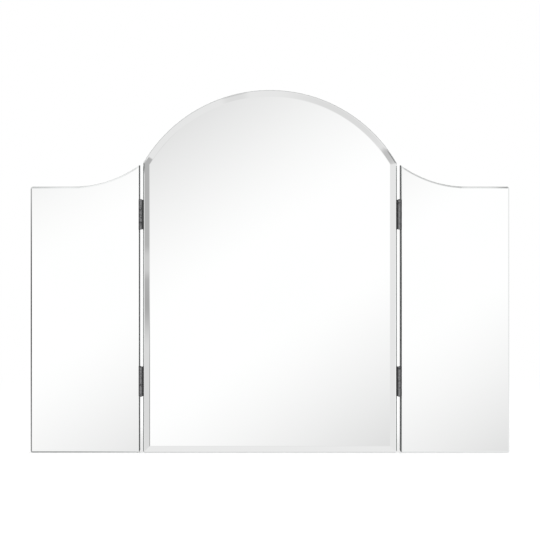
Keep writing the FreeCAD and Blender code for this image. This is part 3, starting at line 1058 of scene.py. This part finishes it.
def studio_walls(nodes, across, up):
    """Brightness of the walls, with their bands, the flag and the patches."""
    far = abs(across).at_least(abs(up)).rise(*FAR_OUT)
    stripes = nodes.math("SINE", (up - across * BAND_SLOPE) * STRIPE_PITCH) * STRIPE_DEPTH - STRIPE_DIM
    tone = WALL_TONE + far * stripes + (-up).rise(*FLOOR_GLOW) * FLOOR_LIFT
    top = (up + across * FLAG_LEAN).rise(*FLAG_TOP) * up.rise(*FLAG_FOOT)
    sides = (-across).rise(*FLAG_NEAR_SIDE) * (-across).rise(*FLAG_FAR_SIDE)
    slit = abs(up - FLAG_SLIT).rise(*FLAG_SLIT_REACH) * FLAG_SLIT_SHARE
    tone = tone - top * sides * (1 - slit) * FLAG_DARK
    for middle, reach, dark in PATCHES.values():
        tone = tone - soft_patch(across, up, middle, reach) * dark
    return tone


def studio_ends(x, y, z):
    """Brightness of what lies beside the mirror, over it and just behind it."""
    left = (-x).rise(*LEFT_END_SIDE) * z.rise(*LEFT_END_TOP) * y.rise(*LEFT_END_DEPTH)
    left_dark = left * (LEFT_END_DARK + z.rise(*LEFT_END_LOWER) * LEFT_END_LOWER_DARK)
    ceiling = z.rise(*CEILING_HEIGHT) * y.rise(*CEILING_DEPTH)
    corners = z.rise(*CORNER_HEIGHT) * y.rise(*CORNER_DEPTH)
    corner_dim = (-x).rise(*LEFT_CORNER) * LEFT_CORNER_DIM + x.rise(*RIGHT_CORNER) * RIGHT_CORNER_DIM
    curves = z.rise(*CURVE_HEIGHT) * y.rise(*CURVE_START) * y.rise(*CURVE_END)
    curve_dim = (x > 0.0) * CURVE_DIM_RIGHT - CURVE_LIFT
    return END_TONE - left_dark - ceiling * CEILING_DIM - corners * corner_dim - curves * curve_dim


def studio_reflection(nodes):
    """What the mirror sees of the studio: diffusers in front, walls round them, and the studio's ends."""
    x, y, z = nodes.parts(nodes.add("ShaderNodeTexCoord", output="Generated"))
    depth = abs(y).at_least(LEAST_DEPTH)
    across = x / depth
    up = z / depth
    walls = studio_walls(nodes, across, up)
    on_diffuser = abs(across).rise(*DIFFUSER_SIDES) * abs(up).rise(*DIFFUSER_ENDS)
    ahead = walls + (studio_diffusers(nodes, across, up) - walls) * on_diffuser
    tone = ahead + (studio_ends(x, y, z) - ahead) * y.rise(*ENDS_FROM)
    return tone + (WALL_TONE - tone) * y.rise(*BEHIND_FROM)


def studio_world(studio):
    """White to the camera, an even light on matt surfaces, and the studio in what reflects."""
    world = bpy.data.worlds.new("studio")
    bpy.context.scene.world = world
    nodes = Nodes(world)
    camera = nodes.add("ShaderNodeLightPath", output="Is Camera Ray")
    reflecting = camera.output("Is Glossy Ray").at_least(camera.output("Is Transmission Ray"))
    even = nodes.background(WHITE, studio.ambient)
    reflected = nodes.background(WHITE, studio_reflection(nodes))
    seen = nodes.mixed(camera, nodes.mixed(reflecting, even, reflected), nodes.background(WHITE))
    nodes.add("ShaderNodeOutputWorld", None, {"Surface": seen})


def floor_paper(studio):
    """Pale paper, white to the camera away from the mirror and with its soft shading near it."""
    material = bpy.data.materials.new("floor_paper")
    nodes = Nodes(material)
    x, y, _ = nodes.parts(nodes.place())
    near = nodes.math("SQRT", x * x + y * y).rise(studio.shadow_reach, 0.0)
    fibre = nodes.noise(nodes.place(), FIBRE_SCALE, FINEST_DETAIL)
    camera = nodes.add("ShaderNodeLightPath", output="Is Camera Ray")
    paper = nodes.blend(fibre, shaded(studio.floor, PAPER_SHADE), studio.floor)
    matt = nodes.add("ShaderNodeBsdfDiffuse", None, {"Color": paper})
    white = nodes.add("ShaderNodeEmission", None, {"Color": WHITE, "Strength": 1.0})
    shader = nodes.mixed(camera * (1 - near * studio.shadow_keep), matt, white)
    nodes.add("ShaderNodeOutputMaterial", None, {"Surface": shader})
    return material


def studio_floor(studio):
    """A wide floor at the foot of the mirror, which stays out of the glass."""
    mesh = bmesh.new()
    foot = Matrix.Translation((0, 0, CAD_BOX[0].z))
    bmesh.ops.create_grid(mesh, size=studio.floor_size / 2, matrix=foot)
    floor = mesh_object("floor", mesh, [floor_paper(studio)])
    floor.visible_glossy = False


def studio_lamps(middle):
    """Soft boxes that light the matt surfaces and stay out of the mirrors."""
    for name, place, size, power in LAMPS:
        light = bpy.data.lights.new(name, "AREA")
        light.shape = "SQUARE"
        light.size = size
        light.energy = power
        lamp = add_object(name, light)
        lamp.location = middle + Vector(place)
        lamp.rotation_euler = (-Vector(place)).to_track_quat("-Z", "Y").to_euler()
        lamp.visible_glossy = False


def studio_camera(studio, middle, front_y):
    """A camera square to the mirror, as far off as the photographed one."""
    data = bpy.data.cameras.new("camera")
    data.lens = data.sensor_width * studio.camera_distance / studio.picture_width
    camera = add_object("camera", data)
    camera.location = (0, front_y - studio.camera_distance, middle.z + studio.aim_above_middle)
    camera.rotation_euler = FRONT.to_track_quat("Z", "Y").to_euler()
    bpy.context.scene.camera = camera


class MIRROR_OT_stage(bpy.types.Operator):
    """Sets up the floor, the studio light and the camera"""

    bl_idname = "mirror.stage"
    bl_label = "Stage"

    def execute(self, context):
        studio = context.scene.mirror_studio
        middle = (CAD_BOX[0] + CAD_BOX[1]) / 2
        context.scene.view_settings.view_transform = "Standard"
        studio_world(studio)
        studio_floor(studio)
        studio_lamps(middle)
        studio_camera(studio, middle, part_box("centre_mirror_glass")[0].y)
        return {"FINISHED"}


OPERATORS = (
    MIRROR_OT_centre_glass,
    MIRROR_OT_wing_glass,
    MIRROR_OT_hinges,
    MIRROR_OT_boards,
    MIRROR_OT_hangers,
    MIRROR_OT_bumpers,
    MIRROR_OT_stage,
)


class MIRROR_PT_sidebar(bpy.types.Panel):
    """Lists the steps that dress the mirror and the sizes and finishes that they use"""

    bl_idname = "MIRROR_PT_sidebar"
    bl_label = "Folding Mirror"
    bl_space_type = "VIEW_3D"
    bl_region_type = "UI"
    bl_category = "Mirror"

    def draw(self, context):
        for operator in OPERATORS:
            self.layout.operator(operator.bl_idname)
        for name, group in GROUPS.items():
            box = self.layout.box()
            for prop in group.__annotations__:
                box.prop(getattr(context.scene, name), prop)


CLASSES = (*GROUPS.values(), *OPERATORS, MIRROR_PT_sidebar)


def register():
    for cls in CLASSES:
        bpy.utils.register_class(cls)
    for name, group in GROUPS.items():
        setattr(bpy.types.Scene, name, PointerProperty(type=group))


def unregister():
    for name in GROUPS:
        delattr(bpy.types.Scene, name)
    for cls in reversed(CLASSES):
        bpy.utils.unregister_class(cls)


def main():
    register()
    bpy.ops.mirror.centre_glass()
    bpy.ops.mirror.wing_glass()
    bpy.ops.mirror.hinges()
    bpy.ops.mirror.boards()
    bpy.ops.mirror.hangers()
    bpy.ops.mirror.bumpers()
    bpy.ops.mirror.stage()


if __name__ == "__main__":
    main()
